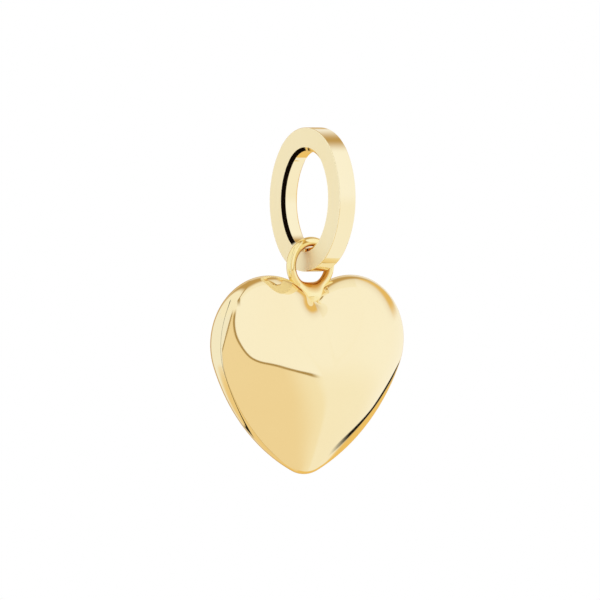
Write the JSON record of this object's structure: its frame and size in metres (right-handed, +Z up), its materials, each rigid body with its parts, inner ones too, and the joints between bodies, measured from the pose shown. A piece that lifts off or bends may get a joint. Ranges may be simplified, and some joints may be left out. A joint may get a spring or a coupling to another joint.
{
  "type": "heart pendant",
  "caption": "Puffed heart pendant with a small round ring soldered in its cleft and a loose oval link that a chain runs through.",
  "frame": {"origin": "crest of the oval link's opening, where a chain bears, on the middle plane of the link and of the heart", "axes": "+Z up as the pendant hangs; front of the heart towards -Y; the chain runs through the link along X"},
  "size_m": [0.012, 0.0062, 0.018],
  "materials": {
    "heart_gold": "mirror-polished yellow gold",
    "ring_gold": "polished yellow gold, drawn round wire and solder",
    "bail_gold": "polished yellow gold, flat sides, softened outer edges and bevelled opening"
  },
  "bodies": {
    "link": {"bail": "bail_gold"},
    "pendant": {"heart": "heart_gold", "hanging_ring": "ring_gold"}
  },
  "joints": [
    {"name": "pendant_swing", "type": "hinge", "parent": "link", "child": "pendant", "pos_m": [0, 0, -0.00593], "axis": [0, 1, 0], "range_deg": [-85, 85]}
  ]
}
